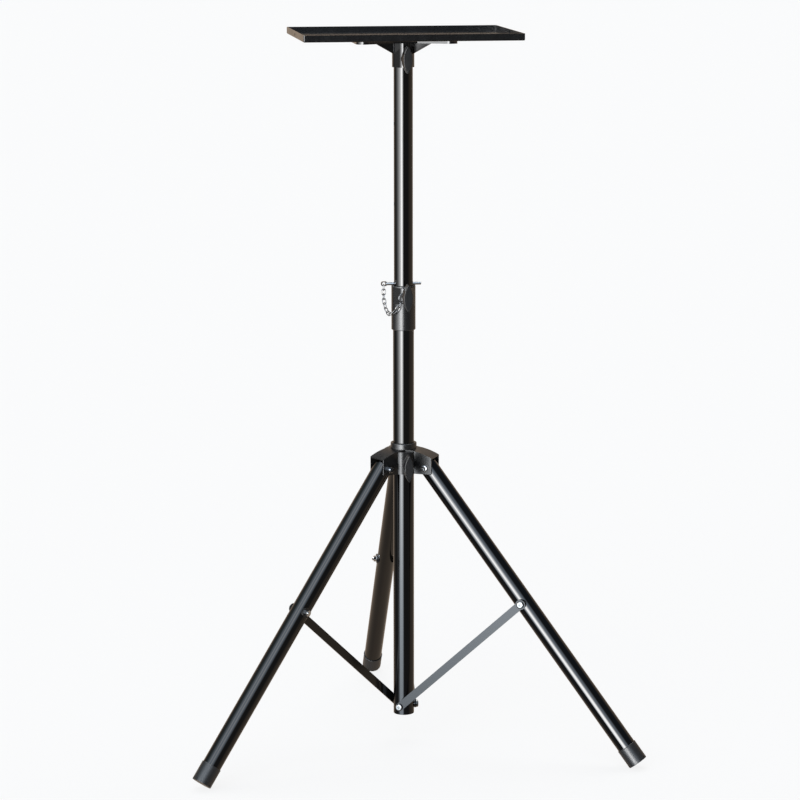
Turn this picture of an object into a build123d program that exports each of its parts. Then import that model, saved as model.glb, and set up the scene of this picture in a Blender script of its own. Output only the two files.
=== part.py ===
from build123d import *
import os
from math import sin, cos, tan, radians, degrees, atan2, sqrt, pi, acos

os.makedirs("parts", exist_ok=True)

# ---------------------------------------------------------------- dimensions
# All in millimetres. +Z up, origin on the column's axis at floor level,
# +X along the tray's long side, -Y is the front, the rear leg is along +Y.

# tubes
LOWER_OD, LOWER_T = 37.4, 1.5        # lower column tube
UPPER_OD, UPPER_T = 33.7, 1.5        # telescoping upper tube
LEG_OD, LEG_T = 33.7, 1.3            # leg tubes
LOWER_BOTTOM, LOWER_TOP = 52.0, 813.0
UPPER_BOTTOM, UPPER_TOP = 575.0, 1268.0

# collar at the head of the lower tube
COLLAR_R, COLLAR_BOTTOM, COLLAR_TOP = 21.5, 762.6, 842.0
COLLAR_BORE_R = 17.2
NOSE_BOTTOM, NOSE_TOP = 810.5, 839.6
# nose that takes the clamp screw: half of its flat, how far forward its corners' centre is, corner radius
COLLAR_NOSE = (2.7, 18.9, 8.6)
SOCKET_NOSE = (2.2, 16.9, 8.6)

# locking pin and its holes
PIN_Z, PIN_R, HOLE_PITCH = 845.2, 3.0, 142.0
PIN_LEFT, PIN_RIGHT = -31.0, 31.5
EYE_X, EYE_LEN, EYE_H, EYE_T = -34.8, 11.0, 8.4, 3.0

# leg linkage, in the vertical plane of each leg
LEG_ANGLES = (("right", 60.0), ("left", -60.0), ("rear", 180.0))
PIVOT_R = 48.0                       # leg pivot radius from the column's axis
LEG_TILT = 38.3                      # leg angle from the vertical when open
LEG_LEN = 644.1845                     # leg pivot to the end of the foot cap
BRACE_AT = 296.5                     # leg pivot to brace pivot along the leg
BRACE_FOOT_Z = 67.4                  # height of the lower brace pivots
CAP_R, CAP_LEN, CAP_FLOOR, CAP_FILLET = 18.0, 35.4, 4.0, 1.0
CAP_NOTCHES, NOTCH_W, NOTCH_H, NOTCH_D = 12, 2.0, 4.6, 0.9

# hub
HUB_BOTTOM, HUB_TOP = 505.0, 547.4
HUB_NOSE_HALF, HUB_NOSE_REACH, HUB_NOSE_R = 20.0, 34.0, 15.0   # rounded noses between the arms
HUB_SLEEVE_R, HUB_BUSH_R, HUB_BORE_R = 22.4, 20.9, 19.2
HUB_RING_R, HUB_RING_TOP = 23.4, 557.6
ARM_HALF, ARM_WALL, ARM_REACH, ARM_END_Z = 19.35, 2.2, 61.0, 535.4
ARM_ROUND = 1.1                      # rounding of the arms' upright outer edges

# brace bars and the pivot hardware
BAR_W, BAR_T, BAR_IN, BAR_EYE_R = 14.5, 3.0, 19.3, 9.0
BOLT_R, HEAD_R, HEAD_T = 3.0, 6.6, 3.8
NUT_AF, NUT_T = 10.0, 5.2

# tray and its support
TRAY_W, TRAY_D, TRAY_H, TRAY_T = 380.0, 279.0, 12.0, 1.5
TRAY_BOTTOM = 1279.3
PLATE_W, PLATE_D, PLATE_H, PLATE_T, PLATE_CORNER = 177.2, 114.6, 9.3, 2.0, 13.3
NOTCH_HALF, NOTCH_Y, NOTCH_SLOPE = 20.6, 30.0, 27.9   # bay in the plate's front edge that clears the knob
SOCKET_R, SOCKET_BORE_R, SOCKET_BOTTOM = 19.55, 17.2, 1227.5
GUSSET_REACH, GUSSET_LOW, GUSSET_T = 62.0, 1250.6, 3.0
GUSSET_SLOPE = 0.522
GUSSET_ANGLES = (("right", 51.75), ("left", -68.25), ("rear", 171.75))
TIE_HOLE_R, TIE_HOLE_Z = 3.5, 6.0

# wing knobs: z of the screw, start of the boss, end of the wings, screw tip
KNOBS = {
    "hub": (522.0, 37.0, 71.0, 19.8),
    "collar": (827.0, 30.0, 64.0, 17.9),
    "tray": (1243.2, 26.0, 60.0, 17.9),
}
WING_HALF, WING_W, BOSS_R, SCREW_R = 25.05, 7.9, 8.0, 4.0
WING_ROUND = 1.1

# safety chain
CHAIN_WIRE_R, CHAIN_BEND_R, CHAIN_STRAIGHT = 0.8, 3.3, 4.4

# ---------------------------------------------------------------- derived
TH = radians(LEG_TILT)
CAP_END_Z = (CAP_R - CAP_FILLET) * sin(TH) + CAP_FILLET * (1 - cos(TH))
PIVOT_Z = LEG_LEN * cos(TH) + CAP_END_Z
BR_R = PIVOT_R + BRACE_AT * sin(TH)
BR_Z = PIVOT_Z - BRACE_AT * cos(TH)
BRACE_LEN = sqrt(BR_R ** 2 + (BR_Z - BRACE_FOOT_Z) ** 2)
PSI0 = atan2(BR_R, BR_Z - BRACE_FOOT_Z)
PSI1 = atan2(PIVOT_R, sqrt(BRACE_LEN ** 2 - PIVOT_R ** 2))
HUB_TRAVEL = BRACE_FOOT_Z + BRACE_LEN * cos(PSI1) + BRACE_AT - PIVOT_Z
print("pivot z %.3f  brace pivot r %.3f z %.3f  brace %.3f" % (PIVOT_Z, BR_R, BR_Z, BRACE_LEN))
print("hub travel %.3f  leg fold %.3f deg  brace fold %.3f deg" % (HUB_TRAVEL, LEG_TILT, degrees(PSI0 - PSI1)))


def out_dir(a):
    """Unit vector out along a leg whose heading is a degrees from the front."""
    return Vector(sin(radians(a)), -cos(radians(a)), 0)


def side_dir(a):
    """Unit vector square to a leg's plane, towards the side its brace is on."""
    return Vector(-cos(radians(a)), -sin(radians(a)), 0)


def leg_plane(a):
    """Vertical plane through the column's axis: x outwards, y up."""
    return Plane(origin=(0, 0, 0), x_dir=out_dir(a), z_dir=side_dir(a))


def across(a, r, z, lat):
    """Plane square to a leg's plane, at radius r and height z, lat to the side."""
    o = out_dir(a) * r + side_dir(a) * lat + Vector(0, 0, z)
    return Plane(origin=o, x_dir=out_dir(a), z_dir=side_dir(a))


def far_side(a, r, z, lat):
    """The same plane seen from the leg's other side."""
    o = out_dir(a) * r + side_dir(a) * lat + Vector(0, 0, z)
    return Plane(origin=o, x_dir=out_dir(a), z_dir=side_dir(a) * -1)


def hex_nut(plane, across_flats, height):
    """Hexagon nut on a plane, growing along the plane's normal, corners turned off at its far face."""
    corner = across_flats / sqrt(3)
    with BuildPart() as nut:
        with BuildSketch(plane):
            RegularPolygon(across_flats / 2, 6, major_radius=False)
        extrude(amount=height)
        with BuildSketch(plane):
            Circle(corner + 0.01)
        extrude(amount=height, mode=Mode.INTERSECT)
        with BuildSketch(Plane(origin=plane.origin, x_dir=plane.x_dir, z_dir=plane.y_dir)):
            with BuildLine():
                Polyline((across_flats / 2 - 0.2, -height), (corner + 1, -height), (corner + 1, -height + (corner + 1.2 - across_flats / 2) * 0.58),
                         (across_flats / 2 - 0.2, -height))
            make_face()
        revolve(axis=Axis(plane.origin, plane.z_dir), mode=Mode.SUBTRACT)
    return nut.part


def nose_outline(tube_r, half, forward, corner):
    """Plan of a nose on the front of a tube: sides that leave the tube at a tangent, and a blunt rounded front."""
    heading = atan2(half, forward)
    phi = heading + acos((tube_r - corner) / sqrt(half ** 2 + forward ** 2))
    n = (sin(phi), -cos(phi))
    tube_pt = (tube_r * n[0], tube_r * n[1])
    front_pt = (half + corner * n[0], -forward + corner * n[1])
    right_side = [tube_pt, front_pt, (half, -forward - corner)]
    return [(0, 0)] + right_side + [(-x, y) for x, y in reversed(right_side)]


def save(part, name):
    part.label = name
    export_step(part, "parts/%s.step" % name)


# ---------------------------------------------------------------- column
with BuildPart() as lower_tube:
    with BuildSketch(Plane.XY.offset(LOWER_BOTTOM)):
        Circle(LOWER_OD / 2)
        Circle(LOWER_OD / 2 - LOWER_T, mode=Mode.SUBTRACT)
    extrude(amount=LOWER_TOP - LOWER_BOTTOM)
    # holes of the three lower brace bolts
    for _, a in LEG_ANGLES:
        with BuildSketch(across(a, 0, BRACE_FOOT_Z, 0)):
            Circle(BOLT_R)
        extrude(amount=LOWER_OD, mode=Mode.SUBTRACT)
save(lower_tube.part, "lower_tube")

with BuildPart() as bottom_plug:
    with BuildSketch(Plane.XY.offset(LOWER_BOTTOM + 1.0)):
        Circle(LOWER_OD / 2 - LOWER_T)
    extrude(amount=34)
    chamfer(bottom_plug.faces().sort_by(Axis.Z)[0].edges(), 1.2)
    for _, a in LEG_ANGLES:
        with BuildSketch(across(a, 0, BRACE_FOOT_Z, 8)):
            Circle(BOLT_R)
        extrude(amount=LOWER_OD, mode=Mode.SUBTRACT)
save(bottom_plug.part, "bottom_plug")

with BuildPart() as collar:
    with BuildSketch(Plane.XY.offset(COLLAR_BOTTOM)):
        Circle(COLLAR_R)
    extrude(amount=COLLAR_TOP - COLLAR_BOTTOM)
    chamfer(collar.edges().group_by(Axis.Z)[0], 1.0)
    fillet(collar.edges().group_by(Axis.Z)[-1], 1.2)
    # nose that holds the clamp screw's nut
    with BuildSketch(Plane.XY.offset(NOSE_BOTTOM)):
        Polygon(*nose_outline(COLLAR_R, *COLLAR_NOSE), align=None)
        with Locations((COLLAR_NOSE[0], -COLLAR_NOSE[1]), (-COLLAR_NOSE[0], -COLLAR_NOSE[1])):
            Circle(COLLAR_NOSE[2])
    extrude(amount=NOSE_TOP - NOSE_BOTTOM)
    with BuildSketch(Plane.XY.offset(COLLAR_BOTTOM)):
        Circle(LOWER_OD / 2)
    extrude(amount=LOWER_TOP - COLLAR_BOTTOM, mode=Mode.SUBTRACT)
    with BuildSketch(Plane.XY.offset(LOWER_TOP)):
        Circle(COLLAR_BORE_R)
    extrude(amount=COLLAR_TOP - LOWER_TOP, mode=Mode.SUBTRACT)
    with BuildSketch(Plane(origin=(0, 0, KNOBS["collar"][0]), x_dir=(1, 0, 0), z_dir=(0, -1, 0))):
        Circle(SCREW_R + 0.3)
    extrude(amount=40, mode=Mode.SUBTRACT)
save(collar.part, "collar")

with BuildPart() as locking_pin:
    # the two ends that stand out of the upper tube, the left one with an eye
    with BuildSketch(Plane(origin=(PIN_LEFT, 0, PIN_Z), x_dir=(0, 1, 0), z_dir=(1, 0, 0))):
        Circle(PIN_R)
    extrude(amount=-UPPER_OD / 2 - 0.3 - PIN_LEFT)
    with BuildSketch(Plane(origin=(EYE_X, EYE_T / 2, PIN_Z), x_dir=(1, 0, 0), z_dir=(0, -1, 0))):
        RectangleRounded(EYE_LEN, EYE_H, 3.2)
    extrude(amount=EYE_T)
    with BuildSketch(Plane(origin=(EYE_X - 0.6, 10, PIN_Z), x_dir=(1, 0, 0), z_dir=(0, -1, 0))):
        Circle(2.9)
    extrude(amount=20, mode=Mode.SUBTRACT)
    with BuildSketch(Plane(origin=(UPPER_OD / 2 + 0.3, 0, PIN_Z), x_dir=(0, 1, 0), z_dir=(1, 0, 0))):
        Circle(PIN_R)
    extrude(amount=PIN_RIGHT - UPPER_OD / 2 - 0.3)
    chamfer(locking_pin.edges().filter_by(GeomType.CIRCLE).sort_by(Axis.X)[-1], 0.6)
save(locking_pin.part, "locking_pin")

for side, a in LEG_ANGLES:
    # lower brace bolt: pan head, shank and the saddle spacer on the tube
    with BuildPart() as column_bolt:
        with BuildSketch(across(a, 0, BRACE_FOOT_Z, 8.0)):
            Circle(BOLT_R)
        extrude(amount=BAR_IN + BAR_T + 0.3 - 8.0)
        with BuildSketch(across(a, 0, BRACE_FOOT_Z, LOWER_OD / 2)):
            Circle(6.5)
        extrude(amount=BAR_IN - 0.3 - LOWER_OD / 2)
        with BuildSketch(across(a, 0, BRACE_FOOT_Z, BAR_IN + BAR_T + 0.3)):
            Circle(HEAD_R)
        extrude(amount=HEAD_T)
        fillet(column_bolt.faces().sort_by(Axis((0, 0, 0), tuple(side_dir(a))))[-1].edges(), 2.2)
        with BuildSketch(across(a, 0, BRACE_FOOT_Z, BAR_IN + BAR_T + 0.3 + HEAD_T)):
            Rectangle(4.6, 1.0)
            Rectangle(1.0, 4.6)
        extrude(amount=-1.6, mode=Mode.SUBTRACT)
    save(column_bolt.part, "column_bolt_" + side)

# ---------------------------------------------------------------- safety chain
RING_R, RING_X, RING_Y, RING_Z = 10.2, -1.9, -28.75, KNOBS["collar"][0] - 4.75
with BuildPart() as chain_ring:
    # wire ring that hangs on the collar's clamp screw
    with BuildLine(Plane(origin=(RING_X, RING_Y, RING_Z), x_dir=(1, 0, 0), z_dir=(0, -1, 0))) as ring_line:
        CenterArc((0, 0), RING_R, 0, 360)
    with BuildSketch(Plane(origin=(RING_X + RING_R, RING_Y, RING_Z), x_dir=(1, 0, 0), z_dir=(0, 0, 1))):
        Circle(0.8)
    sweep(path=ring_line.wires()[0])
save(chain_ring.part, "chain_ring")

# the chain hangs from the pin's eye and comes up to the ring: for each link its
# centre, the direction it runs in and the normal of the plane it lies in
CHAIN_LINKS = [
    ((-35.45, 0.29, 838.51), (-0.016, 0.035, -0.999), (1.000, 0.001, -0.016)),
    ((-35.58, 0.04, 830.31), (-0.011, -0.092, -0.996), (0.111, -0.990, 0.091)),
    ((-35.54, -1.16, 822.19), (0.025, -0.195, -0.980), (0.975, 0.220, -0.019)),
    ((-35.09, -3.10, 814.23), (0.091, -0.274, -0.957), (0.322, -0.902, 0.289)),
    ((-33.96, -5.66, 806.52), (0.188, -0.365, -0.912), (0.893, 0.450, 0.004)),
    ((-31.98, -9.44, 799.54), (0.289, -0.570, -0.769), (0.451, -0.627, 0.635)),
    ((-29.04, -15.04, 794.42), (0.456, -0.792, -0.406), (0.793, 0.569, -0.219)),
    ((-24.48, -21.57, 794.48), (0.602, -0.712, 0.361), (0.171, 0.557, 0.813)),
    ((-19.44, -26.41, 798.70), (0.626, -0.463, 0.628), (0.778, 0.314, -0.544)),
    ((-14.47, -29.05, 804.62), (0.565, -0.180, 0.805), (-0.034, 0.970, 0.241)),
    ((-10.43, -29.46, 811.71), (0.408, 0.070, 0.910), (0.911, 0.026, -0.411)),
]
with BuildPart() as pin_chain:
    for centre, heading, normal in CHAIN_LINKS:
        run_v = Vector(*heading).normalized()
        nrm = Vector(*normal)
        nrm = (nrm - run_v * nrm.dot(run_v)).normalized()
        link_plane = Plane(origin=centre, x_dir=run_v, z_dir=nrm)
        h = CHAIN_STRAIGHT / 2
        r = CHAIN_BEND_R
        with BuildLine(link_plane) as link_line:
            Line((-h, r), (h, r))
            ThreePointArc((h, r), (h + r, 0), (h, -r))
            Line((h, -r), (-h, -r))
            ThreePointArc((-h, -r), (-h - r, 0), (-h, r))
        with BuildSketch(Plane(origin=link_plane.from_local_coords((0, r, 0)), x_dir=nrm, z_dir=run_v)):
            Circle(CHAIN_WIRE_R)
        sweep(path=link_line.wires()[0])
save(pin_chain.part, "pin_chain")

# ---------------------------------------------------------------- hub
with BuildPart() as hub_body:
    # blunt noses between the arms
    for a in (0.0, 120.0, 240.0):
        with BuildSketch(Plane(origin=(0, 0, HUB_BOTTOM), x_dir=side_dir(a) * -1, z_dir=(0, 0, 1))) as nose:
            with Locations((0, -HUB_NOSE_REACH / 2)):
                Rectangle(2 * HUB_NOSE_HALF, HUB_NOSE_REACH)
            fillet(nose.vertices().sort_by(lambda v: v.X ** 2 + v.Y ** 2)[-2:], HUB_NOSE_R)
        extrude(amount=HUB_TOP - 2.4 - HUB_BOTTOM)
    for _, a in LEG_ANGLES:
        with BuildPart(mode=Mode.PRIVATE) as arm:
            # side view of the arm
            with BuildSketch(leg_plane(a)):
                with BuildLine():
                    Polyline((0, HUB_TOP), (0, HUB_BOTTOM), (ARM_REACH - 3, HUB_BOTTOM))
                    TangentArc((ARM_REACH - 3, HUB_BOTTOM), (ARM_REACH, HUB_BOTTOM + 3), tangent=(1, 0))
                    Line((ARM_REACH, HUB_BOTTOM + 3), (ARM_REACH, ARM_END_Z))
                    ThreePointArc((ARM_REACH, ARM_END_Z), (43.0, 542.6), (20.0, HUB_TOP))
                    Line((20.0, HUB_TOP), (0, HUB_TOP))
                make_face()
            extrude(amount=ARM_HALF, both=True)
            sides = [f for f in arm.faces() if abs(abs(f.normal_at().dot(side_dir(a))) - 1) < 1e-6]
            rims = [e for f in sides for e in f.edges() if e.center().dot(out_dir(a)) > ARM_REACH - 0.1]
            fillet(rims, ARM_ROUND)
        add(arm.part)
    # each arm is a channel, open below and at its outer end
    for _, a in LEG_ANGLES:
        with BuildSketch(leg_plane(a)):
            with BuildLine():
                Polyline((0, HUB_TOP - 2.6), (0, HUB_BOTTOM - 1), (ARM_REACH + 2, HUB_BOTTOM - 1), (ARM_REACH + 2, ARM_END_Z - 2.9))
                ThreePointArc((ARM_REACH + 2, ARM_END_Z - 2.9), (43.0, 542.6 - 2.2), (20.0, HUB_TOP - 2.6))
                Line((20.0, HUB_TOP - 2.6), (0, HUB_TOP - 2.6))
            make_face()
        extrude(amount=ARM_HALF - ARM_WALL, both=True, mode=Mode.SUBTRACT)
    with BuildSketch(Plane.XY.offset(HUB_BOTTOM - 2.5)):
        Circle(HUB_SLEEVE_R)
    extrude(amount=HUB_TOP - HUB_BOTTOM + 2.5)
    with BuildSketch(Plane.XY.offset(HUB_BOTTOM - 10)):
        Circle(HUB_BUSH_R)
    extrude(amount=HUB_TOP - HUB_BOTTOM + 20, mode=Mode.SUBTRACT)
    with BuildSketch(Plane(origin=(0, 0, KNOBS["hub"][0]), x_dir=(1, 0, 0), z_dir=(0, -1, 0))):
        Circle(SCREW_R + 0.3)
    extrude(amount=40, mode=Mode.SUBTRACT)
    for _, a in LEG_ANGLES:
        with BuildSketch(across(a, PIVOT_R, PIVOT_Z, 0)):
            Circle(BOLT_R)
        extrude(amount=30, both=True, mode=Mode.SUBTRACT)
save(hub_body.part, "hub_body")

with BuildPart() as hub_bush:
    with BuildSketch(Plane.XY.offset(HUB_BOTTOM - 2.5)):
        Circle(HUB_BUSH_R)
    extrude(amount=HUB_TOP - HUB_BOTTOM + 2.5)
    with BuildSketch(Plane.XY.offset(HUB_TOP)):
        Circle(HUB_RING_R)
    extrude(amount=HUB_RING_TOP - HUB_TOP)
    fillet(hub_bush.edges().group_by(Axis.Z)[-1], 1.6)
    with BuildSketch(Plane.XY.offset(HUB_BOTTOM - 10)):
        Circle(HUB_BORE_R)
    extrude(amount=HUB_RING_TOP - HUB_BOTTOM + 20, mode=Mode.SUBTRACT)
    with BuildSketch(Plane(origin=(0, 0, KNOBS["hub"][0]), x_dir=(1, 0, 0), z_dir=(0, -1, 0))):
        Circle(SCREW_R + 0.3)
    extrude(amount=40, mode=Mode.SUBTRACT)
save(hub_bush.part, "hub_bush")

for side, a in LEG_ANGLES:
    # leg pivot: pan head on the brace side, nut and stud on the other
    with BuildPart() as hub_bolt:
        with BuildSketch(across(a, PIVOT_R, PIVOT_Z, -ARM_HALF - NUT_T - 2.0)):
            Circle(BOLT_R)
        extrude(amount=2 * ARM_HALF + NUT_T + 2.0)
        with BuildSketch(across(a, PIVOT_R, PIVOT_Z, ARM_HALF)):
            Circle(HEAD_R - 0.8)
        extrude(amount=HEAD_T)
        fillet(hub_bolt.faces().sort_by(Axis((0, 0, 0), tuple(side_dir(a))))[-1].edges(), 2.0)
        with BuildSketch(across(a, PIVOT_R, PIVOT_Z, ARM_HALF + HEAD_T)):
            Rectangle(4.4, 1.0)
            Rectangle(1.0, 4.4)
        extrude(amount=-1.6, mode=Mode.SUBTRACT)
        add(hex_nut(far_side(a, PIVOT_R, PIVOT_Z, -ARM_HALF), NUT_AF, NUT_T))
    save(hub_bolt.part, "hub_bolt_" + side)

# ---------------------------------------------------------------- legs
for side, a in LEG_ANGLES:
    along = out_dir(a) * sin(TH) + Vector(0, 0, -cos(TH))
    pivot = out_dir(a) * PIVOT_R + Vector(0, 0, PIVOT_Z)

    with BuildPart() as leg_tube:
        with BuildSketch(Plane(origin=pivot - along * LEG_OD / 2, x_dir=side_dir(a), z_dir=along)):
            Circle(LEG_OD / 2)
            Circle(LEG_OD / 2 - LEG_T, mode=Mode.SUBTRACT)
        extrude(amount=LEG_OD / 2 + LEG_LEN - CAP_FLOOR)
        # the head is rounded about the pivot so that it turns inside the arm
        with BuildSketch(Plane(origin=pivot, x_dir=along, z_dir=side_dir(a))):
            with Locations((-LEG_OD / 2, 0)):
                Rectangle(LEG_OD, LEG_OD + 4)
            Circle(LEG_OD / 2 - 0.05, mode=Mode.SUBTRACT)
        extrude(amount=LEG_OD, both=True, mode=Mode.SUBTRACT)
        with BuildSketch(across(a, PIVOT_R, PIVOT_Z, 0)):
            Circle(BOLT_R + 0.4)
        extrude(amount=LEG_OD, both=True, mode=Mode.SUBTRACT)
        with BuildSketch(across(a, BR_R, BR_Z, 0)):
            Circle(BOLT_R)
        extrude(amount=LEG_OD, both=True, mode=Mode.SUBTRACT)
    save(leg_tube.part, "leg_tube_" + side)

    with BuildPart() as foot_cap:
        with BuildSketch(Plane(origin=pivot + along * (LEG_LEN - CAP_LEN), x_dir=side_dir(a), z_dir=along)):
            Circle(CAP_R)
        extrude(amount=CAP_LEN)
        ends = foot_cap.faces().sort_by(Axis(tuple(pivot), tuple(along)))
        fillet(ends[-1].edges(), CAP_FILLET)
        with BuildSketch(Plane(origin=pivot + along * (LEG_LEN - CAP_LEN), x_dir=side_dir(a), z_dir=along)):
            Circle(LEG_OD / 2)
        extrude(amount=CAP_LEN - CAP_FLOOR, mode=Mode.SUBTRACT)
        # short grip notches round the foot
        with BuildSketch(Plane(origin=pivot + along * (LEG_LEN - NOTCH_H), x_dir=side_dir(a), z_dir=along)):
            with PolarLocations(CAP_R, CAP_NOTCHES, start_angle=15):
                Rectangle(2 * NOTCH_D, NOTCH_W)
        extrude(amount=NOTCH_H, mode=Mode.SUBTRACT)
    save(foot_cap.part, "foot_cap_" + side)

    # saddle washers on both sides of the leg at the brace pivot
    with BuildPart() as leg_washer:
        with BuildSketch(across(a, BR_R, BR_Z, 12.0)):
            Circle(9.0)
        extrude(amount=BAR_IN - 0.4 - 12.0)
        with BuildSketch(across(a, BR_R, BR_Z, -12.0)):
            Circle(9.0)
        extrude(amount=-(BAR_IN - 0.4 - 12.0))
        with BuildSketch(Plane(origin=pivot, x_dir=side_dir(a), z_dir=along)):
            Circle(LEG_OD / 2)
        extrude(amount=LEG_LEN - CAP_LEN, mode=Mode.SUBTRACT)
        with BuildSketch(across(a, BR_R, BR_Z, 0)):
            Circle(BOLT_R)
        extrude(amount=LEG_OD, both=True, mode=Mode.SUBTRACT)
    save(leg_washer.part, "leg_washer_" + side)

    # the leg's half of the brace pivot: shank, nut and stud end
    with BuildPart() as leg_nut:
        with BuildSketch(across(a, BR_R, BR_Z, -(BAR_IN - 0.4) - NUT_T - 2.6)):
            Circle(BOLT_R)
        extrude(amount=2 * (BAR_IN - 0.4) + NUT_T + 2.6)
        add(hex_nut(far_side(a, BR_R, BR_Z, -(BAR_IN - 0.4)), NUT_AF, NUT_T))
    save(leg_nut.part, "leg_nut_" + side)

# ---------------------------------------------------------------- braces
for side, a in LEG_ANGLES:
    run = out_dir(a) * sin(PSI0) + Vector(0, 0, cos(PSI0))
    foot = Vector(0, 0, BRACE_FOOT_Z) + side_dir(a) * BAR_IN

    with BuildPart() as brace_bar:
        with BuildSketch(Plane(origin=foot, x_dir=run, z_dir=side_dir(a))):
            with Locations((BRACE_LEN / 2, 0)):
                SlotCenterToCenter(BRACE_LEN, BAR_W)
            with Locations((BRACE_LEN, 0)):
                Circle(BAR_EYE_R)
            Circle(BOLT_R + 0.3, mode=Mode.SUBTRACT)
            with Locations((BRACE_LEN, 0)):
                Circle(BOLT_R, mode=Mode.SUBTRACT)
        extrude(amount=BAR_T)
    save(brace_bar.part, "brace_bar_" + side)

    with BuildPart() as brace_bolt:
        with BuildSketch(across(a, BR_R, BR_Z, BAR_IN + 0.4)):
            Circle(BOLT_R)
        extrude(amount=BAR_T)
        with BuildSketch(across(a, BR_R, BR_Z, BAR_IN + BAR_T)):
            Circle(HEAD_R)
        extrude(amount=HEAD_T)
        fillet(brace_bolt.faces().sort_by(Axis((0, 0, 0), tuple(side_dir(a))))[-1].edges(), 2.2)
        with BuildSketch(across(a, BR_R, BR_Z, BAR_IN + BAR_T + HEAD_T)):
            Rectangle(4.6, 1.0)
            Rectangle(1.0, 4.6)
        extrude(amount=-1.6, mode=Mode.SUBTRACT)
    save(brace_bolt.part, "brace_bolt_" + side)

# ---------------------------------------------------------------- upper tube
with BuildPart() as upper_tube:
    with BuildSketch(Plane.XY.offset(UPPER_BOTTOM)):
        Circle(UPPER_OD / 2)
        Circle(UPPER_OD / 2 - UPPER_T, mode=Mode.SUBTRACT)
    extrude(amount=UPPER_TOP - UPPER_BOTTOM)
    for k in (-1, 0, 1, 2):
        with BuildSketch(Plane(origin=(0, 0, PIN_Z + k * HOLE_PITCH), x_dir=(0, 1, 0), z_dir=(1, 0, 0))):
            Circle(PIN_R + 0.3)
        extrude(amount=UPPER_OD, both=True, mode=Mode.SUBTRACT)
save(upper_tube.part, "upper_tube")

# ---------------------------------------------------------------- tray
PLATE_TOP = TRAY_BOTTOM
PLATE_UNDER = PLATE_TOP - PLATE_T
PAN_FLOOR = TRAY_BOTTOM + TRAY_T
SCREW_X, SCREW_Y = PLATE_W / 2 - PLATE_CORNER, PLATE_D / 2 - PLATE_CORNER
FLAT_R, SHANK_R = 3.8, 2.0           # countersunk screw head and shank

with BuildPart() as tray_pan:
    with BuildSketch(Plane.XY.offset(TRAY_BOTTOM)):
        RectangleRounded(TRAY_W, TRAY_D, 2.0)
    extrude(amount=TRAY_H)
    fillet(tray_pan.edges().group_by(Axis.Z)[0], 1.9)
    with BuildSketch(Plane.XY.offset(TRAY_BOTTOM + TRAY_T)):
        RectangleRounded(TRAY_W - 2 * TRAY_T, TRAY_D - 2 * TRAY_T, 0.8)
    extrude(amount=TRAY_H, mode=Mode.SUBTRACT)
    # tie hole in the middle of each end wall
    with BuildSketch(Plane(origin=(0, 0, TRAY_BOTTOM + TIE_HOLE_Z), x_dir=(0, 1, 0), z_dir=(1, 0, 0))):
        Circle(TIE_HOLE_R)
    extrude(amount=TRAY_W, both=True, mode=Mode.SUBTRACT)
    # countersunk holes
    for sx in (-SCREW_X, SCREW_X):
        for sy in (-SCREW_Y, SCREW_Y):
            with BuildSketch(Plane(origin=(sx, sy, 0), x_dir=(1, 0, 0), z_dir=(0, -1, 0))):
                with BuildLine():
                    Polyline((0, PAN_FLOOR), (FLAT_R, PAN_FLOOR), (FLAT_R - TRAY_T, TRAY_BOTTOM), (0, TRAY_BOTTOM), (0, PAN_FLOOR))
                make_face()
            revolve(axis=Axis((sx, sy, 0), (0, 0, 1)), mode=Mode.SUBTRACT)
save(tray_pan.part, "tray_pan")

# countersunk screws through the pan and the plate, with a nut below each
with BuildPart() as tray_screws:
    for sx in (-SCREW_X, SCREW_X):
        for sy in (-SCREW_Y, SCREW_Y):
            with BuildSketch(Plane(origin=(sx, sy, 0), x_dir=(1, 0, 0), z_dir=(0, -1, 0))) as half:
                with BuildLine():
                    Polyline((0, PAN_FLOOR), (FLAT_R, PAN_FLOOR), (SHANK_R, PAN_FLOOR - FLAT_R + SHANK_R),
                             (SHANK_R, PLATE_UNDER - 5.6), (0, PLATE_UNDER - 5.6), (0, PAN_FLOOR))
                make_face()
            revolve(axis=Axis((sx, sy, 0), (0, 0, 1)))
            with BuildSketch(Plane(origin=(sx, sy, PLATE_UNDER))):
                RegularPolygon(3.5, 6, major_radius=False)
            extrude(amount=-3.2)
            with BuildSketch(Plane(origin=(sx, sy, PAN_FLOOR))):
                Rectangle(3.4, 0.8, rotation=30)
                Rectangle(0.8, 3.4, rotation=30)
            extrude(amount=-1.2, mode=Mode.SUBTRACT)
save(tray_screws.part, "tray_screws")

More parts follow.
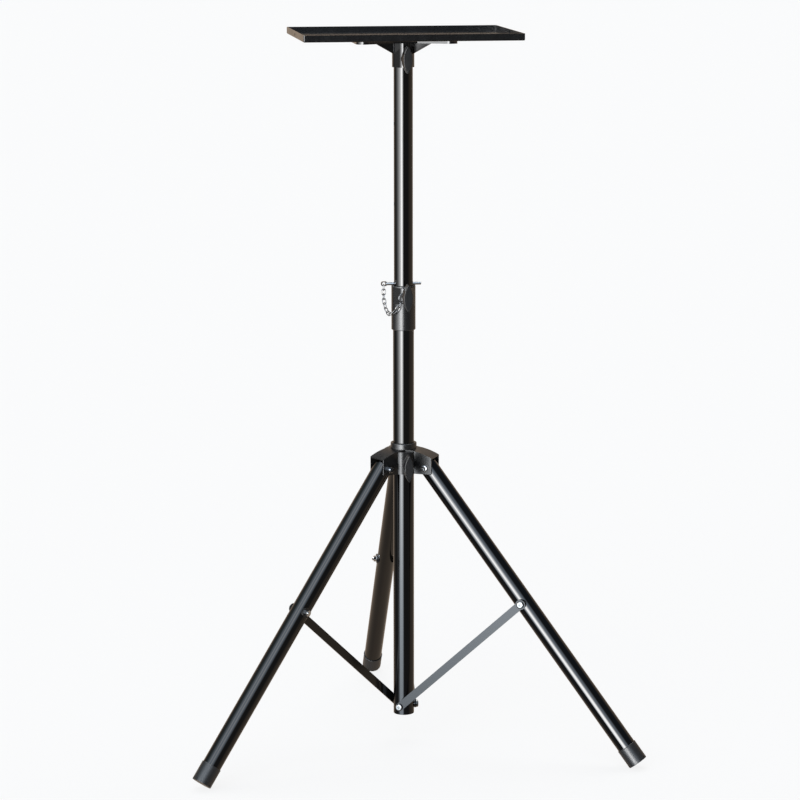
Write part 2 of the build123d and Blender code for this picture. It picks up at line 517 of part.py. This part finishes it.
horn_y = NOTCH_Y + (PLATE_W / 2 - NOTCH_HALF) * tan(radians(NOTCH_SLOPE))
PLATE_PLAN = [(NOTCH_HALF, -NOTCH_Y), (PLATE_W / 2, -horn_y), (PLATE_W / 2, PLATE_D / 2), (-PLATE_W / 2, PLATE_D / 2),
              (-PLATE_W / 2, -horn_y), (-NOTCH_HALF, -NOTCH_Y)]
with BuildPart() as support_plate:
    # turned-down sheet with a bay in its front edge
    with BuildSketch(Plane.XY.offset(PLATE_TOP - PLATE_H)) as plan:
        Polygon(*PLATE_PLAN, align=None)
        fillet([v for v in plan.vertices() if abs(v.X) > NOTCH_HALF + 5], PLATE_CORNER)
    extrude(amount=PLATE_H)
    fillet(support_plate.edges().group_by(Axis.Z)[-1], 1.8)
    with BuildSketch(Plane.XY.offset(PLATE_TOP - PLATE_H)) as plan_in:
        Polygon(*PLATE_PLAN, align=None)
        fillet([v for v in plan_in.vertices() if abs(v.X) > NOTCH_HALF + 5], PLATE_CORNER)
        offset(amount=-PLATE_T, mode=Mode.REPLACE)
    extrude(amount=PLATE_H - PLATE_T, mode=Mode.SUBTRACT)
    for sx in (-SCREW_X, SCREW_X):
        for sy in (-SCREW_Y, SCREW_Y):
            with BuildSketch(Plane(origin=(sx, sy, 0), x_dir=(1, 0, 0), z_dir=(0, -1, 0))):
                with BuildLine():
                    Polyline((0, PLATE_TOP), (FLAT_R - TRAY_T, PLATE_TOP), (SHANK_R, PLATE_TOP - FLAT_R + TRAY_T + SHANK_R),
                             (SHANK_R, PLATE_UNDER - 1), (0, PLATE_UNDER - 1), (0, PLATE_TOP))
                make_face()
            revolve(axis=Axis((sx, sy, 0), (0, 0, 1)), mode=Mode.SUBTRACT)
save(support_plate.part, "support_plate")

with BuildPart() as tray_socket:
    with BuildSketch(Plane.XY.offset(SOCKET_BOTTOM)):
        Circle(SOCKET_R)
        Polygon(*nose_outline(SOCKET_R, *SOCKET_NOSE), align=None)
        with Locations((SOCKET_NOSE[0], -SOCKET_NOSE[1]), (-SOCKET_NOSE[0], -SOCKET_NOSE[1])):
            Circle(SOCKET_NOSE[2])
        Circle(SOCKET_BORE_R, mode=Mode.SUBTRACT)
    extrude(amount=PLATE_UNDER - SOCKET_BOTTOM)
    with BuildSketch(Plane(origin=(0, 0, KNOBS["tray"][0]), x_dir=(1, 0, 0), z_dir=(0, -1, 0))):
        Circle(SCREW_R + 0.3)
    extrude(amount=40, mode=Mode.SUBTRACT)
save(tray_socket.part, "tray_socket")

for side, a in GUSSET_ANGLES:
    # the rear one stops short of the plate's turned-down edge
    reach = GUSSET_REACH if side != "rear" else 50.0
    with BuildPart() as gusset:
        with BuildSketch(leg_plane(a)):
            with BuildLine():
                Polyline((0, GUSSET_LOW), (0, PLATE_UNDER), (reach, PLATE_UNDER), (reach, GUSSET_LOW + (reach - SOCKET_R) * GUSSET_SLOPE),
                         (SOCKET_R, GUSSET_LOW), (0, GUSSET_LOW))
            make_face()
        extrude(amount=GUSSET_T / 2, both=True)
        with BuildSketch(Plane.XY.offset(GUSSET_LOW - 10)):
            Circle(SOCKET_R)
            Polygon(*nose_outline(SOCKET_R, *SOCKET_NOSE), align=None)
        extrude(amount=60, mode=Mode.SUBTRACT)
    save(gusset.part, "gusset_" + side)

# ---------------------------------------------------------------- wing knobs
for name, (kz, k_start, k_end, k_tip) in KNOBS.items():
    bulge = (WING_HALF ** 2 + WING_W ** 2) / (2 * WING_W)
    with BuildPart() as knob:
        # lens-shaped wings
        with BuildSketch(Plane(origin=(0, -(k_start + 9.0), kz), x_dir=(1, 0, 0), z_dir=(0, -1, 0))):
            with BuildLine():
                ThreePointArc((0, -WING_HALF), (WING_W, 0), (0, WING_HALF))
                ThreePointArc((0, WING_HALF), (-WING_W, 0), (0, -WING_HALF))
            make_face()
        extrude(amount=k_end - k_start - 9.0)
        # the wings narrow towards the boss
        with BuildSketch(Plane(origin=(0, 0, kz), x_dir=(0, -1, 0), z_dir=(1, 0, 0))):
            with BuildLine():
                Polyline((k_start + 4, 10), (k_start + 10, 11), (k_start + 21, 30), (k_start + 4, 30), (k_start + 4, 10))
            make_face()
            with BuildLine():
                Polyline((k_start + 4, -10), (k_start + 10, -11), (k_start + 21, -30), (k_start + 4, -30), (k_start + 4, -10))
            make_face()
        extrude(amount=30, both=True, mode=Mode.SUBTRACT)
        fillet(knob.edges().filter_by(Axis.Y), 1.4)
        fillet(knob.faces().sort_by(Axis.Y)[0].edges(), WING_ROUND)
        # boss
        with BuildSketch(Plane(origin=(0, -k_start, kz), x_dir=(1, 0, 0), z_dir=(0, -1, 0))):
            Circle(BOSS_R)
        extrude(amount=13.0)
        chamfer(knob.edges().filter_by(GeomType.CIRCLE).sort_by(Axis.Y)[-1], 0.7)
        # clamp screw
        with BuildSketch(Plane(origin=(0, -k_tip, kz), x_dir=(1, 0, 0), z_dir=(0, -1, 0))):
            Circle(SCREW_R)
        extrude(amount=k_start - k_tip + 2)
    save(knob.part, name + "_knob")
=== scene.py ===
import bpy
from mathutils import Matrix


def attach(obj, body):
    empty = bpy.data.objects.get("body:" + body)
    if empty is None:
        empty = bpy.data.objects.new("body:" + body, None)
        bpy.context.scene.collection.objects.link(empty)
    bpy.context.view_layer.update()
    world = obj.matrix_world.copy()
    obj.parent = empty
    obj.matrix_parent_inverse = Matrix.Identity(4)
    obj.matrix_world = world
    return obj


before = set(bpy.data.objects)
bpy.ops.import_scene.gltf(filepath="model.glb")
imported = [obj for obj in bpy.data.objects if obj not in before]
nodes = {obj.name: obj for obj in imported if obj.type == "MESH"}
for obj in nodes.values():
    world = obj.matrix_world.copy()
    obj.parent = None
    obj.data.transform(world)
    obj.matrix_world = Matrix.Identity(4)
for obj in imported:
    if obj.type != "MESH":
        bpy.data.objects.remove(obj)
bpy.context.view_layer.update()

import math

import bmesh
import bpy
from mathutils import Matrix, Vector

scene = bpy.context.scene

# ------------------------------------------------------------------ camera
# The view is turned 8.25 degrees from the tray's front and looks down 11 degrees.
VIEW_TURN = math.radians(8.25)
PITCH = math.radians(10.975)
YAW = math.radians(0.066)
ROLL = math.radians(0.071)
FOCAL_PX = 2674.23
turn = Matrix.Rotation(-VIEW_TURN, 3, "Z")
cam_at = turn @ Vector((-0.00093, -4.70187, 1.54591))
right = turn @ Vector((math.cos(YAW), math.sin(YAW), 0))
ahead = turn @ Vector((-math.sin(YAW), math.cos(YAW), 0))
look = ahead * math.cos(PITCH) - Vector((0, 0, math.sin(PITCH)))
up = ahead * math.sin(PITCH) + Vector((0, 0, math.cos(PITCH)))
img_right = right * math.cos(ROLL) - up * math.sin(ROLL)
img_up = right * math.sin(ROLL) + up * math.cos(ROLL)
cam_data = bpy.data.cameras.new("camera")
cam_data.sensor_fit = "HORIZONTAL"
cam_data.sensor_width = 36.0
cam_data.lens = FOCAL_PX / 800.0 * 36.0
cam_data.clip_start, cam_data.clip_end = 0.05, 400.0
cam = bpy.data.objects.new("camera", cam_data)
scene.collection.objects.link(cam)
cam.matrix_world = Matrix((
    (img_right.x, img_up.x, -look.x, cam_at.x),
    (img_right.y, img_up.y, -look.y, cam_at.y),
    (img_right.z, img_up.z, -look.z, cam_at.z),
    (0, 0, 0, 1),
))
scene.camera = cam
scene.view_settings.view_transform = "Standard"
scene.view_settings.look = "None"


# ------------------------------------------------------------------ node helpers
class Tree:
    """Short hand for building a node tree."""

    def __init__(self, tree):
        self.t = tree
        self.t.nodes.clear()

    def node(self, kind, **props):
        n = self.t.nodes.new(kind)
        for k, v in props.items():
            setattr(n, k, v)
        return n

    def put(self, socket, value):
        if isinstance(value, bpy.types.NodeSocket):
            self.t.links.new(value, socket)
        else:
            socket.default_value = value

    def math(self, op, a, b=0.0, c=0.0, clamp=False):
        n = self.node("ShaderNodeMath", operation=op, use_clamp=clamp)
        for i, v in enumerate((a, b, c)):
            self.put(n.inputs[i], v)
        return n.outputs[0]

    def step(self, x, lo, hi, a=0.0, b=1.0):
        """Smooth step of x from lo to hi, giving a to b."""
        n = self.node("ShaderNodeMapRange", interpolation_type="SMOOTHSTEP", clamp=True)
        for i, v in enumerate((x, lo, hi, a, b)):
            self.put(n.inputs[i], v)
        return n.outputs[0]

    def lin(self, x, lo, hi, a=0.0, b=1.0):
        n = self.node("ShaderNodeMapRange", clamp=True)
        for i, v in enumerate((x, lo, hi, a, b)):
            self.put(n.inputs[i], v)
        return n.outputs[0]

    def mix(self, f, a, b):
        n = self.node("ShaderNodeMix", data_type="RGBA")
        self.put(n.inputs[0], f)
        self.put(n.inputs[6], a if isinstance(a, bpy.types.NodeSocket) else (*a, 1.0))
        self.put(n.inputs[7], b if isinstance(b, bpy.types.NodeSocket) else (*b, 1.0))
        return n.outputs[2]

    def scale(self, colour, f):
        """colour times f, where f may be a socket."""
        n = self.node("ShaderNodeVectorMath", operation="SCALE")
        self.put(n.inputs[0], colour)
        self.put(n.inputs[3], f)
        return n.outputs[0]

    def add(self, a, b):
        n = self.node("ShaderNodeVectorMath", operation="ADD")
        self.put(n.inputs[0], a)
        self.put(n.inputs[1], b)
        return n.outputs[0]

    def noise(self, vec, scale, detail=2.0, rough=0.5, stretch=None):
        if stretch is not None:
            m = self.node("ShaderNodeMapping")
            self.put(m.inputs["Vector"], vec)
            m.inputs["Scale"].default_value = stretch
            vec = m.outputs[0]
        n = self.node("ShaderNodeTexNoise")
        self.put(n.inputs["Vector"], vec)
        n.inputs["Scale"].default_value = scale
        n.inputs["Detail"].default_value = detail
        n.inputs["Roughness"].default_value = rough
        return n.outputs["Fac"]

    def coords(self):
        return self.node("ShaderNodeTexCoord").outputs["Object"]

    def bump(self, height, strength, distance, normal=None):
        n = self.node("ShaderNodeBump")
        n.inputs["Strength"].default_value = strength
        n.inputs["Distance"].default_value = distance
        self.put(n.inputs["Height"], height)
        if normal is not None:
            self.put(n.inputs["Normal"], normal)
        return n.outputs[0]


# ------------------------------------------------------------------ studio light
# One soft surround: a tall white window to the left of the viewer that fades out to
# its left, a cool ceiling over it, and a dim warm room at the back and below.
ENV_LEVEL = 1.0


def build_world():
    world = bpy.data.worlds.new("studio")
    scene.world = world
    world.use_nodes = True
    t = Tree(world.node_tree)
    direction = t.node("ShaderNodeTexCoord").outputs["Generated"]
    spin = t.node("ShaderNodeVectorRotate", rotation_type="Z_AXIS")
    t.put(spin.inputs["Vector"], direction)
    spin.inputs["Angle"].default_value = VIEW_TURN
    sep = t.node("ShaderNodeSeparateXYZ")
    t.put(sep.inputs[0], spin.outputs[0])
    x, y, z = sep.outputs
    deg = 180.0 / math.pi
    az = t.math("MULTIPLY", t.math("ARCTAN2", x, t.math("MULTIPLY", y, -1.0)), deg)
    el = t.math("MULTIPLY", t.math("ARCSINE", z), deg)

    # window core
    core = t.math("MULTIPLY", t.step(az, -37.0, -25.0), t.step(az, -18.0, -5.0, 1.0, 0.0))
    core = t.math("MULTIPLY", core, t.step(el, -16.5, -8.0))
    core = t.math("MULTIPLY", core, t.step(el, 2.0, 10.0, 1.0, 0.0))
    # its long fade to the left
    left = t.math("MINIMUM", t.math("ADD", az, 40.0), 0.0)
    fade = t.math("EXPONENT", t.math("DIVIDE", left, 28.0))
    el_eff = t.math("ADD", el, t.math("MULTIPLY", left, 0.27))
    fade = t.math("MULTIPLY", fade, t.step(el_eff, -27.0, -7.0))
    fade = t.math("MULTIPLY", fade, t.step(el, 4.0, 26.0, 1.0, 0.0))
    fade = t.math("MULTIPLY", fade, t.step(az, -14.0, 4.0, 1.0, 0.0))
    fade = t.math("MULTIPLY", fade, t.step(az, -118.0, -84.0))
    # the light turns bluer towards the window's sill
    sill = t.step(el, -17.0, -10.0, 1.0, 0.0)
    # cool ceiling with a pale seam along either side of it
    sky = t.math("MULTIPLY", t.step(el, 2.0, 16.0), t.step(az, -95.0, -28.0))
    sky = t.math("MULTIPLY", sky, t.step(az, 4.0, 30.0, 1.0, 0.0))
    sky = t.math("MULTIPLY", sky, t.step(el, 52.0, 64.0, 1.0, 0.72))
    seam = t.math("ADD",
                  t.math("MULTIPLY", t.step(az, -44.0, -37.0), t.step(az, -35.0, -28.0, 1.0, 0.0)),
                  t.math("MULTIPLY", t.step(az, -11.0, -4.0), t.step(az, -2.0, 5.0, 1.0, 0.0)))
    seam = t.math("MULTIPLY", seam, t.step(el, 26.0, 34.0))
    top = t.step(el, 56.0, 82.0)
    # soft box high up at the back, which shows the legs' form from behind
    box = t.math("MULTIPLY", t.step(el, 50.0, 57.0), t.step(y, 0.03, 0.12))
    box = t.math("MULTIPLY", box, t.math("MULTIPLY", t.step(x, -0.56, -0.46), t.step(x, 0.46, 0.56, 1.0, 0.0)))
    # warm room behind and below, darker around the viewer, cool and dark high up
    c25 = math.cos(math.radians(25.0))
    s25 = math.sin(math.radians(25.0))
    front = t.math("ADD", t.math("MULTIPLY", y, -c25), t.math("MULTIPLY", x, -s25))
    front = t.math("ADD", front, t.math("MULTIPLY", z, 0.30))
    room = t.step(front, -0.36, 0.16, 1.0, 0.0)
    back = t.math("MULTIPLY", t.step(y, 0.55, 0.95), t.step(el, 22.0, 30.0, 1.0, 0.0))
    high = t.step(el, 25.0, 33.0)

    env = t.mix(room, (0.115, 0.115, 0.118), (0.43, 0.345, 0.27))
    loft = t.mix(t.step(x, -0.75, -0.25, 1.0, 0.0), (0.085, 0.11, 0.145), (0.24, 0.30, 0.31))
    env = t.mix(high, env, loft)
    env = t.add(env, t.scale((0.16, 0.12, 0.09), back))
    env = t.add(env, t.scale((0.5, 0.6, 0.72), top))
    env = t.add(env, t.scale(t.mix(seam, (2.25, 2.65, 3.15), (4.3, 4.3, 4.3)), sky))
    env = t.add(env, t.scale(t.mix(sill, (9.8, 9.9, 10.0), (9.0, 10.2, 11.4)), fade))
    env = t.add(env, t.scale(t.mix(sill, (13.0, 13.0, 13.0), (11.5, 13.0, 14.5)), core))
    env = t.add(env, t.scale((5.0, 5.0, 4.9), box))
    env = t.scale(env, ENV_LEVEL)

    path = t.node("ShaderNodeLightPath")
    shown = t.mix(path.outputs["Is Camera Ray"], env, (0.935, 0.951, 0.958))
    bg = t.node("ShaderNodeBackground")
    t.put(bg.inputs["Color"], shown)
    bg.inputs["Strength"].default_value = 1.0
    out = t.node("ShaderNodeOutputWorld")
    t.put(out.inputs["Surface"], bg.outputs[0])


build_world()


# ------------------------------------------------------------------ floor
def build_floor():
    bm = bmesh.new()
    bmesh.ops.create_grid(bm, x_segments=2, y_segments=2, size=90.0)
    me = bpy.data.meshes.new("floor")
    bm.to_mesh(me)
    bm.free()
    floor = bpy.data.objects.new("floor", me)
    floor.location = (0, 0, -0.0004)
    scene.collection.objects.link(floor)
    mat = bpy.data.materials.new("pale_floor")
    mat.use_nodes = True
    t = Tree(mat.node_tree)
    p = t.node("ShaderNodeBsdfPrincipled")
    p.inputs["Base Color"].default_value = (0.07, 0.07, 0.0702, 1)
    p.inputs["Roughness"].default_value = 0.9
    p.inputs["Specular IOR Level"].default_value = 0.0
    p.inputs["Emission Color"].default_value = (1.0, 1.0, 1.0, 1)
    p.inputs["Emission Strength"].default_value = 0.85
    out = t.node("ShaderNodeOutputMaterial")
    t.put(out.inputs["Surface"], p.outputs[0])
    me.materials.append(mat)
    floor.visible_glossy = False
    floor.visible_shadow = False


build_floor()


# ------------------------------------------------------------------ materials
def new_material(name):
    m = bpy.data.materials.new(name)
    m.use_nodes = True
    t = Tree(m.node_tree)
    p = t.node("ShaderNodeBsdfPrincipled")
    out = t.node("ShaderNodeOutputMaterial")
    t.put(out.inputs["Surface"], p.outputs[0])
    return m, t, p


def paint(name, base, tint, rough, peel, peel_scale):
    """Black stoved paint: faint cloudiness, a trace of orange peel and fine handling marks."""
    m, t, p = new_material(name)
    at = t.coords()
    cloud = t.noise(at, 14.0, 3.0)
    fine = t.noise(at, 260.0, 4.0, 0.6)
    t.put(p.inputs["Base Color"], t.mix(t.lin(cloud, 0.3, 0.7), base, tint))
    rub = t.noise(at, 55.0, 4.0, 0.6, stretch=(1.0, 1.0, 0.06))
    wear = t.math("ADD", t.lin(rub, 0.35, 0.75, 0.9, 1.15), t.lin(fine, 0.4, 0.7, 0.0, 0.1))
    t.put(p.inputs["Roughness"], t.math("MULTIPLY", wear, rough))
    ripple = t.noise(at, peel_scale, 1.0, 0.4)
    t.put(p.inputs["Normal"], t.bump(ripple, peel, 0.0004))
    p.inputs["IOR"].default_value = 1.5
    return m


def plastic(name, base, tint, rough, ior=1.55):
    """Moulded black plastic with a fine spark-eroded grain."""
    m, t, p = new_material(name)
    at = t.coords()
    cloud = t.noise(at, 30.0, 3.0)
    t.put(p.inputs["Base Color"], t.mix(t.lin(cloud, 0.3, 0.7), base, tint))
    grain = t.noise(at, 1500.0, 3.0, 0.6)
    flow = t.noise(at, 90.0, 3.0, 0.5)
    r = t.math("ADD", t.lin(flow, 0.3, 0.7, rough * 0.96, rough * 1.04), t.lin(grain, 0.35, 0.65, 0.0, 0.03))
    t.put(p.inputs["Roughness"], r)
    t.put(p.inputs["Normal"], t.bump(grain, 0.012, 0.0003))
    p.inputs["IOR"].default_value = ior
    return m


def rubber(name):
    """Black rubber with a dull sheen and a faintly mottled, dusty tone."""
    m, t, p = new_material(name)
    at = t.coords()
    cloud = t.noise(at, 45.0, 4.0, 0.6)
    speck = t.noise(at, 700.0, 2.0)
    t.put(p.inputs["Base Color"], t.mix(t.lin(cloud, 0.3, 0.75), (0.0056, 0.0058, 0.0062), (0.0082, 0.0084, 0.0088)))
    t.put(p.inputs["Roughness"], t.lin(speck, 0.3, 0.7, 0.30, 0.37))
    t.put(p.inputs["Normal"], t.bump(speck, 0.03, 0.0003))
    p.inputs["IOR"].default_value = 1.52
    return m


def zinc(name, bright, warm, rough_lo, rough_hi):
    """Bright zinc plating: cool, a little streaky, with a faint yellow passivation."""
    m, t, p = new_material(name)
    at = t.coords()
    cloud = t.noise(at, 160.0, 3.0)
    t.put(p.inputs["Base Color"], t.mix(t.lin(cloud, 0.35, 0.7), bright, warm))
    brush = t.noise(at, 900.0, 3.0, 0.6)
    t.put(p.inputs["Roughness"], t.lin(brush, 0.3, 0.7, rough_lo, rough_hi))
    t.put(p.inputs["Normal"], t.bump(brush, 0.06, 0.0002))
    p.inputs["Metallic"].default_value = 1.0
    return m


M_TUBE = paint("black_paint_gloss", (0.0006, 0.0006, 0.0007), (0.0010, 0.0009, 0.0008), 0.055, 0.006, 520.0)
M_HUB = paint("black_paint_satin", (0.0018, 0.0018, 0.0019), (0.0026, 0.0026, 0.0025), 0.30, 0.008, 700.0)
M_BAR = paint("black_paint_bar", (0.0010, 0.0010, 0.0010), (0.0015, 0.0014, 0.0013), 0.10, 0.004, 700.0)
M_TRAY = paint("black_powder_coat", (0.0008, 0.0009, 0.0010), (0.0013, 0.0013, 0.0014), 0.215, 0.008, 1100.0)
M_SOCKET = paint("black_paint_socket", (0.0014, 0.0014, 0.0015), (0.0020, 0.0020, 0.0019), 0.15, 0.008, 700.0)
M_PLASTIC = plastic("black_plastic", (0.0030, 0.0031, 0.0033), (0.0042, 0.0042, 0.0044), 0.25)
M_KNOB = plastic("black_plastic_knob", (0.0018, 0.0020, 0.0022), (0.0030, 0.0031, 0.0033), 0.32, 1.43)
M_RUBBER = rubber("black_rubber")
M_PIN = zinc("zinc_plate_pin", (0.60, 0.62, 0.65), (0.64, 0.63, 0.60), 0.08, 0.15)
M_ZINC = zinc("zinc_plate", (0.20, 0.21, 0.22), (0.24, 0.235, 0.22), 0.07, 0.14)
M_CHAIN = zinc("zinc_plate_chain", (0.15, 0.156, 0.166), (0.18, 0.176, 0.167), 0.08, 0.15)

LOOK = {
    "lower_tube": M_TUBE, "upper_tube": M_TUBE, "leg_tube": M_TUBE, "tray_socket": M_SOCKET,
    "bottom_plug": M_PLASTIC, "collar_knob": M_KNOB, "collar": M_PLASTIC, "hub_bush": M_PLASTIC,
    "hub_knob": M_KNOB, "tray_knob": M_KNOB,
    "hub_body": M_HUB, "brace_bar": M_BAR, "gusset": M_HUB, "support_plate": M_SOCKET,
    "tray_pan": M_TRAY, "foot_cap": M_RUBBER, "leg_washer": M_PLASTIC,
    "locking_pin": M_PIN, "pin_chain": M_CHAIN, "chain_ring": M_CHAIN, "column_bolt": M_ZINC,
    "hub_bolt": M_PIN, "brace_bolt": M_ZINC, "leg_nut": M_PIN, "tray_screws": M_ZINC,
}
for name, obj in nodes.items():
    key = next(k for k in LOOK if name.startswith(k))
    obj.data.materials.clear()
    obj.data.materials.append(LOOK[key])

# ------------------------------------------------------------------ small pieces
MM = 0.001


def heading(a):
    """Level direction at a degrees from the front, turning to the right."""
    return Vector((math.sin(math.radians(a)), -math.cos(math.radians(a)), 0.0))


def sweep(bm, pts, radii, sides=8, closed=False):
    """Adds a tube along pts, with a radius at each point."""
    n = len(pts)
    rings = []
    for i, at in enumerate(pts):
        before = pts[i - 1] if closed or i else pts[0]
        after = pts[(i + 1) % n] if closed or i < n - 1 else pts[-1]
        d = (after - before).normalized()
        side = d.cross(Vector((0, 0, 1)))
        if side.length < 1e-3:
            side = d.cross(Vector((1, 0, 0)))
        side.normalize()
        over = side.cross(d)
        ring = []
        for k in range(sides):
            w = 2 * math.pi * k / sides
            ring.append(bm.verts.new(at + (side * math.cos(w) + over * math.sin(w)) * radii[i]))
        rings.append(ring)
    for i in range(n if closed else n - 1):
        a, b = rings[i], rings[(i + 1) % n]
        for k in range(sides):
            bm.faces.new((a[k], a[(k + 1) % sides], b[(k + 1) % sides], b[k]))
    if not closed:
        bm.faces.new(list(reversed(rings[0])))
        bm.faces.new(rings[-1])


def finish_piece(bm, name, body, material):
    bmesh.ops.recalc_face_normals(bm, faces=bm.faces)
    for f in bm.faces:
        f.smooth = True
    me = bpy.data.meshes.new(name)
    bm.to_mesh(me)
    bm.free()
    me.materials.append(material)
    obj = bpy.data.objects.new(name, me)
    scene.collection.objects.link(obj)
    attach(obj, body)


def bead(bm, a, b, r, pitch=1.7):
    """Rippled weld bead from a to b with rounded ends."""
    length = (b - a).length
    count = max(int(length / (0.42 * MM)), 8)
    pts, radii = [], []
    for i in range(count + 1):
        along = length * i / count
        end = min(along, length - along) / r
        taper = math.sqrt(max(1.0 - (1.0 - min(end, 1.0)) ** 2, 0.04))
        ripple = 1.0 + 0.13 * math.sin(2 * math.pi * along / (pitch * MM)) + 0.05 * math.sin(2 * math.pi * along / (9.3 * MM))
        pts.append(a.lerp(b, i / count))
        radii.append(r * taper * ripple)
    sweep(bm, pts, radii)


SOCKET_R, PLATE_UNDER, GUSSET_LOW, GUSSET_HALF = 19.55 * MM, 1277.3 * MM, 1250.6 * MM, 1.5 * MM

# fillet welds on both sides of each gusset, along the socket and along the plate
for side_name, angle, reach in (("right", 51.75, 62.0), ("left", -68.25, 62.0), ("rear", 171.75, 50.0)):
    out = heading(angle)
    across = Vector((-out.y, out.x, 0.0))
    bm = bmesh.new()
    for sign in (-1, 1):
        off = across * sign * (GUSSET_HALF + 0.5 * MM)
        top = Vector((0, 0, PLATE_UNDER - 0.5 * MM))
        bead(bm, out * (SOCKET_R + 2.0 * MM) + off + top, out * (reach - 3.0) * MM + off + top, 1.5 * MM)
        foot = Vector((0, 0, GUSSET_LOW + 2.0 * MM))
        bead(bm, out * (SOCKET_R + 0.2 * MM) + off + foot, out * (SOCKET_R + 0.2 * MM) + off + top, 1.4 * MM)
    finish_piece(bm, "weld_gusset_" + side_name, "tray", M_HUB)

# weld round the head of the socket, broken at its nose
bm = bmesh.new()
arc = []
for i in range(301):
    arc.append(heading(48.0 + 264.0 * i / 300) * (SOCKET_R + 0.4 * MM) + Vector((0, 0, PLATE_UNDER - 0.5 * MM)))
sweep(bm, arc, [1.4 * MM * (0.3 if i in (0, 300) else 1.0 + 0.13 * math.sin(2 * math.pi * i / 5.6)) for i in range(301)])
finish_piece(bm, "weld_socket_head", "tray", M_HUB)

# moulded lip round the open end of each foot cap
for side_name, angle in (("right", 60.0), ("left", -60.0), ("rear", 180.0)):
    out = heading(angle)
    tilt = math.radians(38.3)
    axis = out * math.sin(tilt) - Vector((0, 0, math.cos(tilt)))
    u = Vector((-out.y, out.x, 0.0))
    v = axis.cross(u)
    centre = out * 48.0 * MM + Vector((0, 0, 516.292 * MM)) + axis * (644.1845 - 35.4 + 0.75) * MM
    bm = bmesh.new()
    ring = []
    for i in range(96):
        w = 2 * math.pi * i / 96
        ring.append(centre + (u * math.cos(w) + v * math.sin(w)) * 17.62 * MM)
    sweep(bm, ring, [0.72 * MM] * 96, sides=10, closed=True)
    finish_piece(bm, "cap_lip_" + side_name, "leg_" + side_name, M_RUBBER)

# ------------------------------------------------------------------ end
scene.view_layers[0].update()
